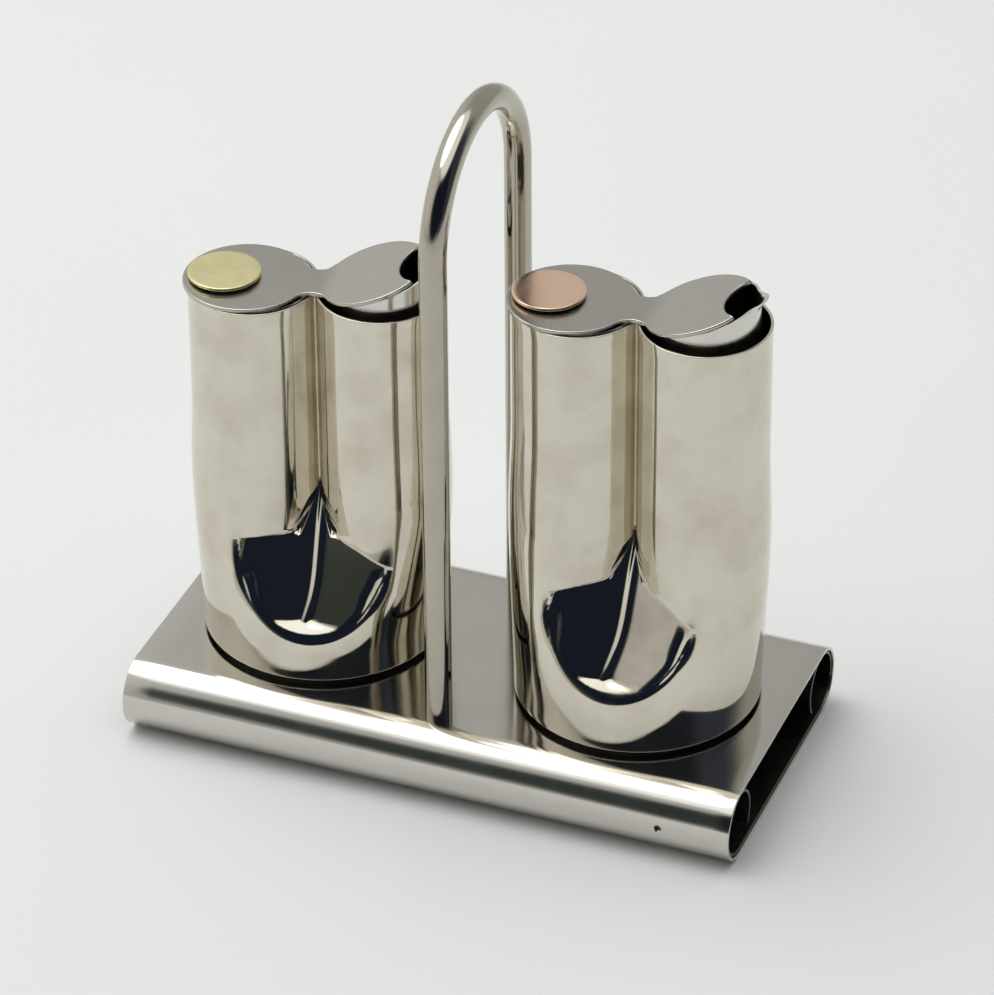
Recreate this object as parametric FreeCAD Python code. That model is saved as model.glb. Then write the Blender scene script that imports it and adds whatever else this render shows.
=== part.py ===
import FreeCAD, Part
import math
import os

from FreeCAD import Vector

# Cruet set with a drawer: a flattened tube base that holds a sliding tray, a tube
# handle, and two loose cruets of different heights with lift-off lids.
# Millimetres. X along the base, front at -Y, Z up from the underside of the base.

# Base sleeve and handle
base_length = 190.0
base_width = 96.0
base_height = 22.5
base_sheet = 1.0
handle_diameter = 8.0
handle_wall = 1.0
handle_spread = 65.0
overall_height = 211.5
plug_length = 15.0
tenon_diameter = 4.0
pin_diameter = 2.6
pin_from_end = 21.5

# Drawer
tray_sheet = 0.8
tray_setback = 0.6
roll_end_angle = 35.0
drawer_travel = 120.0
drawer_wall_inset = 14.0
drawer_wall_sheet = 1.0
drawer_wall_drop = 1.5

# Cruets
cruet_wall = 0.8
foot_height = 1.7
foot_inset = 3.4
foot_width = 1.6
bottom_rise = 1.5
base_radius = 36.4
belly_bulge = 2.2
top_half_length = 37.75
waist_depth = 4.4
round_height = 8.0
shoulder_height = 30.0
crease_softness = 0.04
scoop_half_width = 23.5
scoop_tip_drop = 17.0
scoop_tail = 26.4
scoop_flare = 1.8
scoop_blend = 1.6
valley_depth = 5.0
ridge_width = 3.5
ridge_slope = 1.15

# Lids
plate_thickness = 1.2
flat_lobe_centre = -20.7
flat_lobe_radius = 18.4
spout_lobe_centre = 17.6
spout_lobe_radius = 16.4
plate_waist = 6.6
bend_position = 4.0
bend_angle = 18.0
notch_centre = 38.0
notch_radius = 12.4
sleeve_radius = 15.6
sleeve_wall = 0.8
sleeve_depth = 18.0
beak_reach = 4.8
beak_height = 9.0
beak_spread = 17.0
collar_depth = 5.0
collar_wall = 0.8
disc_radius = 10.65
disc_thickness = 1.0
disc_lift = 0.8
disc_position = -27.0
stem_radius = 3.5

# Fits
running_gap = 0.3
pin_gap = 0.03
weld_gap = 0.05
collar_gap = 0.35

# Where each cruet stands, its turn about its own axis in degrees, the height of its
# body, the height at which the valley between its lobes opens, and its disc
cruets = {
    "left": {"x": -50.5, "y": 2.5, "turn": 14.0, "height": 114.1, "apex": 51.3, "disc": "brass_disc"},
    "right": {"x": 49.0, "y": 2.3, "turn": 5.0, "height": 126.8, "apex": 58.0, "disc": "copper_disc"},
}

# Dependent sizes
round_radius = base_height / 2.0
round_centre = base_width / 2.0 - round_radius
roll_radius = round_radius - base_sheet - running_gap
leg_offset = handle_spread / 2.0
handle_radius = handle_diameter / 2.0
handle_bore = handle_radius - handle_wall
pin_radius = pin_diameter / 2.0
pin_x = base_length / 2.0 - pin_from_end
tray_end = base_length / 2.0 - tray_setback
body_floor = base_height + foot_height

lobe_radius = (top_half_length ** 2 + waist_depth ** 2) / (2.0 * top_half_length)

quarter_points = 22
scoop_sections = 17
sleeve_points = 22


def arc(start, middle, end):
    return Part.Arc(start, middle, end).toShape()


def on_circle(x, y, z, radius, degrees):
    # A point of a circle in the plane across the base, measured from +Y towards +Z
    angle = math.radians(degrees)
    return Vector(x, y + radius * math.cos(angle), z + radius * math.sin(angle))


def tube(centre, outer, inner, height):
    return Part.makeCylinder(outer, height, centre).cut(Part.makeCylinder(inner, height, centre))


def sewn_solid(faces):
    skin = Part.Compound(faces)
    skin.sewShape(0.001)
    solid = Part.Solid(skin.Shells[0])
    if solid.Volume < 0.0:
        solid.reverse()
    return solid


def smooth_step(t):
    t = min(max(t, 0.0), 1.0)
    return t * t * (3.0 - 2.0 * t)


def smooth_minimum(a, b, blend):
    overlap = max(blend - abs(a - b), 0.0) / blend
    return min(a, b) - overlap * overlap * blend / 4.0


# Base sleeve: a flattened tube, open at both ends, drilled for the handle and the pin
def stadium(x, half_flat, radius):
    low = round_radius - radius
    high = round_radius + radius
    bottom = Part.makeLine(Vector(x, -half_flat, low), Vector(x, half_flat, low))
    rear = arc(Vector(x, half_flat, low), Vector(x, half_flat + radius, round_radius), Vector(x, half_flat, high))
    top = Part.makeLine(Vector(x, half_flat, high), Vector(x, -half_flat, high))
    front = arc(Vector(x, -half_flat, high), Vector(x, -half_flat - radius, round_radius), Vector(x, -half_flat, low))
    return Part.Face(Part.Wire([bottom, rear, top, front]))


def base_sleeve():
    start = -base_length / 2.0
    outer = stadium(start, round_centre, round_radius).extrude(Vector(base_length, 0, 0))
    inner = stadium(start, round_centre, round_radius - base_sheet).extrude(Vector(base_length, 0, 0))
    sleeve = outer.cut(inner)
    for side in (-1, 1):
        hole_start = Vector(0, side * leg_offset, base_height - 2 * base_sheet)
        sleeve = sleeve.cut(Part.makeCylinder(tenon_diameter / 2.0 + pin_gap, 3 * base_sheet, hole_start))
    pin_start = Vector(pin_x, -base_width / 2.0 - base_sheet, round_radius)
    pin_hole = Part.makeCylinder(pin_radius + pin_gap, 3 * base_sheet, pin_start, Vector(0, 1, 0))
    return sleeve.cut(pin_hole)


# Stop pin: flush outside, its inner end rides in the slot of the tray's front roll
def drawer_stop_pin():
    length = base_width / 2.0 - round_centre - roll_radius + tray_sheet + 2.0
    return Part.makeCylinder(pin_radius, length, Vector(pin_x, -base_width / 2.0, round_radius), Vector(0, 1, 0))


# Handle: one tube bent to a half circle, with a plug and tenon in each foot
def handle_tube():
    arch_height = overall_height - handle_radius - leg_offset
    leg_length = arch_height - base_height
    near = tube(Vector(0, -leg_offset, base_height), handle_radius, handle_bore, leg_length)
    far = tube(Vector(0, leg_offset, base_height), handle_radius, handle_bore, leg_length)
    outer = Part.makeTorus(leg_offset, handle_radius, Vector(0, 0, arch_height), Vector(1, 0, 0))
    inner = Part.makeTorus(leg_offset, handle_bore, Vector(0, 0, arch_height), Vector(1, 0, 0))
    room = handle_spread
    upper = Part.makeBox(2 * room, 2 * room, room, Vector(-room, -room, arch_height))
    arch = outer.cut(inner).common(upper)
    return near.fuse([arch, far]).removeSplitter()


def leg_plug(side):
    foot = Vector(0, side * leg_offset, base_height)
    plug = Part.makeCylinder(handle_bore - pin_gap, plug_length, foot)
    tenon = Part.makeCylinder(tenon_diameter / 2.0, base_sheet, foot - Vector(0, 0, base_sheet))
    return plug.fuse(tenon).removeSplitter()


# Drawer tray: one sheet, its long sides rolled up and over into nearly closed tubes
def tray_profile(x):
    inner_radius = roll_radius - tray_sheet
    end = 180.0 + roll_end_angle
    edges = []
    for side in (1, -1):
        middle_angle = (end - 90.0) / 2.0

        def point(radius, degrees):
            spot = on_circle(x, round_centre, round_radius, radius, degrees)
            return Vector(x, side * spot.y, spot.z)

        edges.append(arc(point(roll_radius, -90.0), point(roll_radius, middle_angle), point(roll_radius, end)))
        edges.append(Part.makeLine(point(roll_radius, end), point(inner_radius, end)))
        edges.append(arc(point(inner_radius, end), point(inner_radius, middle_angle), point(inner_radius, -90.0)))
    for radius in (roll_radius, inner_radius):
        level = round_radius - radius
        edges.append(Part.makeLine(Vector(x, -round_centre, level), Vector(x, round_centre, level)))
    return Part.Face(Part.Wire(Part.__sortEdges__(edges)))


def pin_slot():
    radius = pin_radius + running_gap
    depth = base_width / 2.0 - round_centre
    front = -base_width / 2.0
    ends = []
    for x in (pin_x, pin_x - drawer_travel):
        ends.append(Part.makeCylinder(radius, depth, Vector(x, front, round_radius), Vector(0, 1, 0)))
    corner = Vector(pin_x - drawer_travel, front, round_radius - radius)
    return ends[0].fuse([ends[1], Part.makeBox(drawer_travel, depth, 2 * radius, corner)])


def drawer_tray():
    return tray_profile(-tray_end).extrude(Vector(2 * tray_end, 0, 0)).cut(pin_slot())


# A wall across each end of the tray, cut to follow the rolled sides
def drawer_wall(x):
    floor = round_radius - roll_radius + tray_sheet
    top = round_radius + roll_radius - drawer_wall_drop
    reach = round_centre - (roll_radius + weld_gap) * math.cos(math.radians(roll_end_angle))
    wall = Part.makeBox(drawer_wall_sheet, 2 * reach, top - floor, Vector(x, -reach, floor))
    for side in (-1, 1):
        axis_start = Vector(x - drawer_wall_sheet, side * round_centre, round_radius)
        wall = wall.cut(Part.makeCylinder(roll_radius + weld_gap, 3 * drawer_wall_sheet, axis_start, Vector(1, 0, 0)))
    return wall


# Cruet body: round at the foot, two joined lobes at the top, with a scoop front and
# back where the valley between the lobes opens out into the round
def lobes(cruet, z):
    # Half the distance between the lobe centres, and their radius, at height z
    apex = cruet["apex"]
    if z < apex:
        half_length = base_radius + belly_bulge * smooth_step(z / apex)
    else:
        fall = base_radius + belly_bulge - top_half_length
        half_length = base_radius + belly_bulge - fall * smooth_step((z - apex) / shoulder_height)
    parted = (half_length ** 2 + waist_depth ** 2) / (2.0 * half_length)
    turn = smooth_step((z - round_height) / (apex - round_height))
    radius = half_length + (parted - half_length) * turn
    return half_length - radius, radius


def scoop_width(cruet, z):
    # Half-width of the scoop: a flare below the apex, then half an ellipse
    apex = cruet["apex"]
    tip = apex - scoop_tip_drop
    if z >= apex or z <= tip - scoop_tail:
        return 0.0
    if z > tip:
        return scoop_half_width * ((apex - z) / scoop_tip_drop) ** scoop_flare
    return scoop_half_width * math.sqrt(1.0 - ((tip - z) / scoop_tail) ** 2)


def scoop_depth(cruet, x, z, edge, rim, inset):
    # Distance of the scoop's surface from the middle plane: a cove that runs from the
    # valley out to the round, with a ridge down its middle, hollow from side to side
    drop = scoop_tip_drop + scoop_tail
    s = min(max((cruet["apex"] - z) / drop, 0.0), 1.0)
    rise = base_radius - valley_depth
    cove = valley_depth + rise * (1.0 - math.sqrt(1.0 - s * s))
    ridge = valley_depth + rise * s ** ridge_slope
    share = math.exp(-math.sqrt(x * x + 0.64) / ridge_width)
    middle = cove + (ridge - cove) * share - inset
    across = 1.0 - math.sqrt(max(1.0 - (x / edge) ** 2, 0.0))
    return middle + (rim - middle) * across


def lobe_point(offset, radius, angle):
    side = offset * math.sqrt(math.cos(angle) ** 2 + crease_softness ** 2)
    reach = side + math.sqrt(radius ** 2 - (offset * math.sin(angle)) ** 2)
    return Vector(reach * math.cos(angle), reach * math.sin(angle), 0)


def body_point(cruet, z, angle, inset):
    offset, radius = lobes(cruet, z)
    spot = lobe_point(offset, radius, angle)
    along = lobe_point(offset, radius, angle + 0.01) - lobe_point(offset, radius, angle - 0.01)
    spot += Vector(-along.y, along.x, 0).normalize() * inset
    edge = scoop_width(cruet, z)
    if edge > 0.0 and abs(spot.x) < edge + inset:
        edge += inset
        rim = math.sqrt(max(radius ** 2 - (edge - offset) ** 2, 0.0)) - inset
        depth = scoop_depth(cruet, spot.x, z, edge, rim, inset)
        spot.y = math.copysign(smooth_minimum(abs(spot.y), depth, scoop_blend), spot.y)
    return Vector(spot.x, spot.y, z)


def section_heights(cruet):
    apex = cruet["apex"]
    foot = apex - scoop_tip_drop - scoop_tail
    heights = [0.0, foot / 2.0]
    for i in range(scoop_sections):
        heights.append(foot + (apex - foot) * i / (scoop_sections - 1))
    above = cruet["height"] - apex
    for share in (0.1, 0.25, 0.45, 0.7, 1.0):
        heights.append(apex + above * share)
    return heights


def smooth_skin(rows):
    # A cubic surface drawn over a net of points
    counts = (len(rows), len(rows[0]))
    knots = [[float(i) for i in range(count - 2)] for count in counts]
    mults = [[4] + [1] * (count - 4) + [4] for count in counts]
    skin = Part.BSplineSurface()
    skin.buildFromPolesMultsKnots(rows, mults[0], mults[1], knots[0], knots[1], False, False, 3, 3)
    return skin


def quarter_skin(cruet, inset):
    # A quarter of the body's surface, from the end of a lobe round to the valley
    angles = [math.pi / 2.0 * i / quarter_points for i in range(quarter_points + 1)]
    heights = section_heights(cruet)
    return smooth_skin([[body_point(cruet, z, angle, inset) for z in heights] for angle in angles])


def mirrored_tube(skins, normals):
    # An open tube: two skins joined by flat rims, mirrored across middle planes
    faces = [skin.toShape() for skin in skins]
    for end in skins[0].bounds()[2:]:
        outer, inner = [skin.vIso(end).toShape() for skin in skins]
        start = Part.makeLine(outer.Vertexes[0].Point, inner.Vertexes[0].Point)
        stop = Part.makeLine(outer.Vertexes[-1].Point, inner.Vertexes[-1].Point)
        faces.append(Part.Face(Part.Wire(Part.__sortEdges__([outer, stop, inner, start]))))
    for normal in normals:
        faces += [face.mirror(Vector(0, 0, 0), normal) for face in faces]
    return sewn_solid(faces)


def cruet_body(cruet):
    skins = [quarter_skin(cruet, inset) for inset in (0.0, cruet_wall)]
    return mirrored_tube(skins, [Vector(1, 0, 0), Vector(0, 1, 0)])


# Cruet bottom: a pressed disc inside the body, with the foot ring it stands on
def cruet_bottom():
    rim = base_radius - cruet_wall - weld_gap
    foot_outer = base_radius - foot_inset
    foot_inner = foot_outer - foot_width
    top = bottom_rise + cruet_wall
    outline = [
        (0.0, bottom_rise), (foot_inner, bottom_rise), (foot_inner, -foot_height),
        (foot_outer, -foot_height), (foot_outer, bottom_rise), (rim, bottom_rise),
        (rim, top), (0.0, top), (0.0, bottom_rise),
    ]
    profile = Part.Face(Part.makePolygon([Vector(r, 0, z) for r, z in outline]))
    return profile.revolve(Vector(0, 0, 0), Vector(0, 0, 1), 360)


# Lid plate: two round lobes joined by a narrow neck, the spout lobe bent up
def neck_arc():
    # Centre and radius of the arc that touches both lobes and leaves the waist
    near = flat_lobe_radius - plate_waist
    far = spout_lobe_radius - plate_waist
    share = near / far
    a = 1.0 - share
    b = -2.0 * flat_lobe_centre + 2.0 * share * spout_lobe_centre
    rest_near = flat_lobe_centre ** 2 + plate_waist ** 2 - flat_lobe_radius ** 2
    rest_far = spout_lobe_centre ** 2 + plate_waist ** 2 - spout_lobe_radius ** 2
    c = rest_near - share * rest_far
    if abs(a) < 1e-9:
        x = -c / b
    else:
        x = (-b + math.sqrt(b * b - 4.0 * a * c)) / (2.0 * a)
    radius = (x * x - 2.0 * flat_lobe_centre * x + rest_near) / (2.0 * near)
    return x, plate_waist + radius, radius


def towards(centre, radius, target):
    direction = (target - centre).normalize()
    return centre + direction * radius


def plate_outline(z):
    x, y, radius = neck_arc()
    flat = Vector(flat_lobe_centre, 0, z)
    spout = Vector(spout_lobe_centre, 0, z)
    edges = []
    joins = []
    for side in (1, -1):
        centre = Vector(x, side * y, z)
        start = towards(flat, flat_lobe_radius, centre)
        end = towards(spout, spout_lobe_radius, centre)
        edges.append(arc(start, Vector(x, side * (y - radius), z), end))
        joins.append((start, end))
    far_left = Vector(flat_lobe_centre - flat_lobe_radius, 0, z)
    far_right = Vector(spout_lobe_centre + spout_lobe_radius, 0, z)
    edges.append(arc(joins[0][0], far_left, joins[1][0]))
    edges.append(arc(joins[0][1], far_right, joins[1][1]))
    return Part.Face(Part.Wire(Part.__sortEdges__(edges)))


def bend_line(cruet):
    return Vector(bend_position, 0, cruet["height"] + plate_thickness)


def lid_plate(cruet):
    level = cruet["height"]
    room = 2.0 * base_radius
    blank = plate_outline(level).extrude(Vector(0, 0, plate_thickness))
    split = Part.makeBox(room, 2 * room, room, Vector(bend_position, -room, level - room / 2.0))
    notch_foot = Vector(notch_centre, 0, level - plate_thickness)
    notch = Part.makeCylinder(notch_radius, 3 * plate_thickness, notch_foot)
    flat = blank.cut(split)
    spout = blank.common(split).cut(notch)
    spout.rotate(bend_line(cruet), Vector(0, 1, 0), -bend_angle)
    half = math.sqrt(spout_lobe_radius ** 2 - (spout_lobe_centre - bend_position) ** 2)
    low = Vector(bend_position, -half, level)
    across = Vector(0, 2 * half, 0)
    up = Vector(0, 0, plate_thickness)
    seam = Part.Face(Part.makePolygon([low, low + across, low + across + up, low + up, low]))
    wedge = seam.revolve(bend_line(cruet), Vector(0, 1, 0), -bend_angle)
    return flat.fuse([wedge, spout]).removeSplitter()


# Collar under the flat lobe, which centres the lid in the body
def lid_collar(cruet):
    centre = Vector(lobe_radius - top_half_length, 0, cruet["height"] - collar_depth)
    outer = lobe_radius - cruet_wall - collar_gap
    return tube(centre, outer, outer - collar_wall, collar_depth)


# Pouring sleeve: a tube in the spout lobe, its top drawn out into a beak and cut off
# along the underside of the bent plate
def sleeve_point(degrees, z, top, inset):
    rise = smooth_step(1.0 - (top - z) / beak_height) ** 2
    reach = sleeve_radius - inset + rise * beak_reach * math.exp(-(degrees / beak_spread) ** 2)
    angle = math.radians(degrees)
    centre = top_half_length - lobe_radius
    return Vector(centre + reach * math.cos(angle), reach * math.sin(angle), z)


def pouring_sleeve(cruet):
    level = cruet["height"]
    low = level - sleeve_depth
    tip = top_half_length - lobe_radius + sleeve_radius + beak_reach - bend_position
    top = level + tip * math.tan(math.radians(bend_angle)) + 2.0 * plate_thickness
    heights = [low, (low + level) / 2.0, level]
    heights += [top - beak_height * share for share in (1.0, 0.8, 0.6, 0.4, 0.2, 0.0)]
    angles = [180.0 * (i / sleeve_points) ** 1.4 for i in range(sleeve_points + 1)]
    skins = []
    for inset in (0.0, sleeve_wall):
        skins.append(smooth_skin([[sleeve_point(a, z, top, inset) for z in heights] for a in angles]))
    room = 3.0 * base_radius
    above = Part.makeBox(room, room, room, Vector(bend_position - room / 2.0, -room / 2.0, level))
    above.rotate(bend_line(cruet), Vector(0, 1, 0), -bend_angle)
    return mirrored_tube(skins, [Vector(0, 1, 0)]).cut(above)


# Disc on the flat lobe, held clear of the plate by a short stem
def disc_stem(cruet):
    foot = Vector(disc_position, 0, cruet["height"] + plate_thickness)
    return Part.makeCylinder(stem_radius, disc_lift, foot)


def marker_disc(cruet):
    foot = Vector(disc_position, 0, cruet["height"] + plate_thickness + disc_lift)
    disc = Part.makeCylinder(disc_radius, disc_thickness, foot)
    return disc.makeFillet(disc_thickness / 4.0, [disc.Edges[0]])


def stand(shape, cruet):
    placed = shape.copy()
    placed.rotate(Vector(0, 0, 0), Vector(0, 0, 1), cruet["turn"])
    placed.translate(Vector(cruet["x"], cruet["y"], body_floor))
    return placed


def cruet_pieces(cruet):
    return {
        "cruet_body": cruet_body(cruet),
        "cruet_bottom": cruet_bottom(),
        "lid_plate": lid_plate(cruet),
        "lid_collar": lid_collar(cruet),
        "pouring_sleeve": pouring_sleeve(cruet),
        "disc_stem": disc_stem(cruet),
        cruet["disc"]: marker_disc(cruet),
    }


def main():
    pieces = {
        "base_sleeve": base_sleeve(),
        "drawer_stop_pin": drawer_stop_pin(),
        "handle_tube": handle_tube(),
        "front_leg_plug": leg_plug(-1),
        "rear_leg_plug": leg_plug(1),
        "drawer_tray": drawer_tray(),
        "drawer_front_wall": drawer_wall(base_length / 2.0 - drawer_wall_inset - drawer_wall_sheet),
        "drawer_back_wall": drawer_wall(drawer_wall_inset - base_length / 2.0),
    }
    for side, cruet in cruets.items():
        for name, shape in cruet_pieces(cruet).items():
            pieces[side + "_" + name] = stand(shape, cruet)
    os.makedirs("parts", exist_ok=True)
    for name, shape in pieces.items():
        shape.exportStep("parts/" + name + ".step")
        print(name, len(shape.Solids), shape.isValid(), round(shape.Volume, 1))


main()
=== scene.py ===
import bmesh
import bpy
import math
import numpy as np
from mathutils import Matrix, Vector


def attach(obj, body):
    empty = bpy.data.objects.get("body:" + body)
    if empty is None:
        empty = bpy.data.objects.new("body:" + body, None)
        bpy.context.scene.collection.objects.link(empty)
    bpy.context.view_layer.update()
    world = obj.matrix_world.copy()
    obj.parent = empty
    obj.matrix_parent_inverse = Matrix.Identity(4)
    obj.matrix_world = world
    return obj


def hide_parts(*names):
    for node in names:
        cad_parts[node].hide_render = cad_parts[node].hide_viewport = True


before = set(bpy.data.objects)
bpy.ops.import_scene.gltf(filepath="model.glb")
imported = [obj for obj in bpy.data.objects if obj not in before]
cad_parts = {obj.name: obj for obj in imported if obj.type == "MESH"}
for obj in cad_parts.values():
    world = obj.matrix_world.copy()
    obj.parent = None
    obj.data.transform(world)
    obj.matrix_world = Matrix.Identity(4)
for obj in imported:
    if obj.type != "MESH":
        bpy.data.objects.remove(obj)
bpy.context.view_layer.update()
# The pieces' measures are in millimetres, and their meshes are in metres
mm = 0.001
mergeDistance = 1e-7
sliverLength = 1e-8


# Helpers: surfaces on a grid of points

def makePiece(name, grid, closeRows, body, replaced, metal):
    # Makes a mesh of a grid of points, (rows, columns, xyz). A quad joins each point to
    # the next row and the next column. The columns close on themselves, and so do the
    # rows where closeRows is true
    rows, columns = grid.shape[:2]
    steps = np.arange(rows if closeRows else rows - 1)
    row, column = np.meshgrid(steps, np.arange(columns), indexing="ij")
    nextRow, nextColumn = (row + 1) % rows, (column + 1) % columns
    corners = [(row, column), (nextRow, column), (nextRow, nextColumn), (row, nextColumn)]
    quads = np.stack([r * columns + c for r, c in corners], -1).reshape(-1, 4)
    points = (grid * mm).reshape(-1, 3)
    mesh = bpy.data.meshes.new(name)
    mesh.vertices.add(len(points))
    mesh.vertices.foreach_set("co", points.astype(np.float32).ravel())
    mesh.loops.add(quads.size)
    mesh.loops.foreach_set("vertex_index", quads.astype(np.int32).ravel())
    mesh.polygons.add(len(quads))
    mesh.polygons.foreach_set("loop_start", np.arange(0, quads.size, 4, dtype=np.int32))
    mesh.update(calc_edges=True)
    mesh.validate()
    work = bmesh.new()
    work.from_mesh(mesh)
    bmesh.ops.remove_doubles(work, verts=work.verts, dist=mergeDistance)
    bmesh.ops.dissolve_degenerate(work, edges=work.edges, dist=sliverLength)
    bmesh.ops.recalc_face_normals(work, faces=work.faces)
    work.to_mesh(mesh)
    work.free()
    mesh.polygons.foreach_set("use_smooth", np.ones(len(mesh.polygons), dtype=bool))
    mesh.update()
    piece = bpy.data.objects.new(name, mesh)
    bpy.context.collection.objects.link(piece)
    mesh.materials.append(metals[metal])
    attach(piece, body)
    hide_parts(*replaced)


def smoothStep(t):
    # t squared times (3 - 2 t), with t held between nought and one
    t = np.clip(t, 0.0, 1.0)
    return t * t * (3.0 - 2.0 * t)


def smoothMinimum(a, b, blend):
    # The smaller one, less overlap squared times a quarter of the blend, where overlap is
    # the share of the blend by which the two lie closer than it
    overlap = np.maximum(blend - np.abs(a - b), 0.0) / blend
    return np.minimum(a, b) - overlap * overlap * blend / 4.0


def roundedWall(length, wall, edge, steps):
    # The path round the wall of an open tube: (distance along, depth into the wall), up
    # the outside, round the far end, down the inside and round the near end. A corner is
    # a quarter circle: edge * sine one way and edge - edge * cosine the other
    turn = np.linspace(0.0, math.pi / 2.0, 5)
    sine, cosine = edge * np.sin(turn), edge * np.cos(turn)
    outside, inside = steps
    along = [outside, length - edge + sine, length - edge + cosine, inside, edge - sine, edge - cosine]
    depth = [np.zeros(len(outside)), edge - cosine, wall - edge + sine]
    depth += [np.full(len(inside), wall), wall - edge + cosine, edge - sine]
    return np.concatenate(along), np.concatenate(depth)


# Shader node groups shared by the metals

marking = {"finer": 14.0, "speckFrom": 0.62, "speckTo": 0.78, "cloudFrom": 0.3, "cloudTo": 0.7,
    "patchFrom": 0.45, "patchTo": 0.75, "lineHeight": 0.00002}
# A colour mix's two colours among its inputs, and its result among its outputs
firstColour, secondColour, mixedColour = 6, 7, 2


def newGroup(name, inputs, outputs):
    # An empty group with its named sockets, and the nodes that stand for them inside
    group = bpy.data.node_groups.new(name, "ShaderNodeTree")
    for label, kind, value in inputs:
        socket = group.interface.new_socket(label, in_out="INPUT", socket_type=kind)
        socket.default_value = value
    for label, kind in outputs:
        group.interface.new_socket(label, in_out="OUTPUT", socket_type=kind)
    return group, group.nodes.new("NodeGroupInput"), group.nodes.new("NodeGroupOutput")


def noise(nodes, links, vector, scale, detail, roughness):
    # A noise texture's value. The scale is a number or another node's output
    node = nodes.new("ShaderNodeTexNoise")
    links.new(vector, node.inputs["Vector"])
    if isinstance(scale, float):
        node.inputs["Scale"].default_value = scale
    else:
        links.new(scale, node.inputs["Scale"])
    node.inputs["Detail"].default_value = detail
    node.inputs["Roughness"].default_value = roughness
    return node.outputs["Fac"]


def handledGroup():
    # Cloudy wiping marks, and fine specks: noise of a finer scale, stretched between the
    # speck limits
    inputs = [("Vector", "NodeSocketVector", (0, 0, 0)), ("Size", "NodeSocketFloat", 60.0)]
    outputs = [("Cloud", "NodeSocketFloat"), ("Specks", "NodeSocketFloat")]
    group, into, out = newGroup("handledMetal", inputs, outputs)
    nodes, links = group.nodes, group.links
    cloud = noise(nodes, links, into.outputs["Vector"], into.outputs["Size"], 5.0, 0.6)
    links.new(cloud, out.inputs["Cloud"])
    finer = nodes.new("ShaderNodeMath")
    finer.operation = "MULTIPLY"
    links.new(into.outputs["Size"], finer.inputs[0])
    finer.inputs[1].default_value = marking["finer"]
    specks = noise(nodes, links, into.outputs["Vector"], finer.outputs[0], 3.0, 0.7)
    narrow = nodes.new("ShaderNodeMapRange")
    links.new(specks, narrow.inputs["Value"])
    narrow.inputs["From Min"].default_value = marking["speckFrom"]
    narrow.inputs["From Max"].default_value = marking["speckTo"]
    links.new(narrow.outputs["Result"], out.inputs["Specks"])
    return group


def brushedGroup():
    # Fine lines: noise of the place times the Stretch scales, the small one along the lines
    inputs = [("Vector", "NodeSocketVector", (0, 0, 0))]
    inputs += [("Stretch", "NodeSocketVector", (40.0, 4000.0, 4000.0))]
    group, into, out = newGroup("brushLines", inputs, [("Lines", "NodeSocketFloat")])
    nodes, links = group.nodes, group.links
    scaled = nodes.new("ShaderNodeVectorMath")
    scaled.operation = "MULTIPLY"
    links.new(into.outputs["Vector"], scaled.inputs[0])
    links.new(into.outputs["Stretch"], scaled.inputs[1])
    links.new(noise(nodes, links, scaled.outputs["Vector"], 1.0, 3.0, 0.6), out.inputs["Lines"])
    return group


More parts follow.
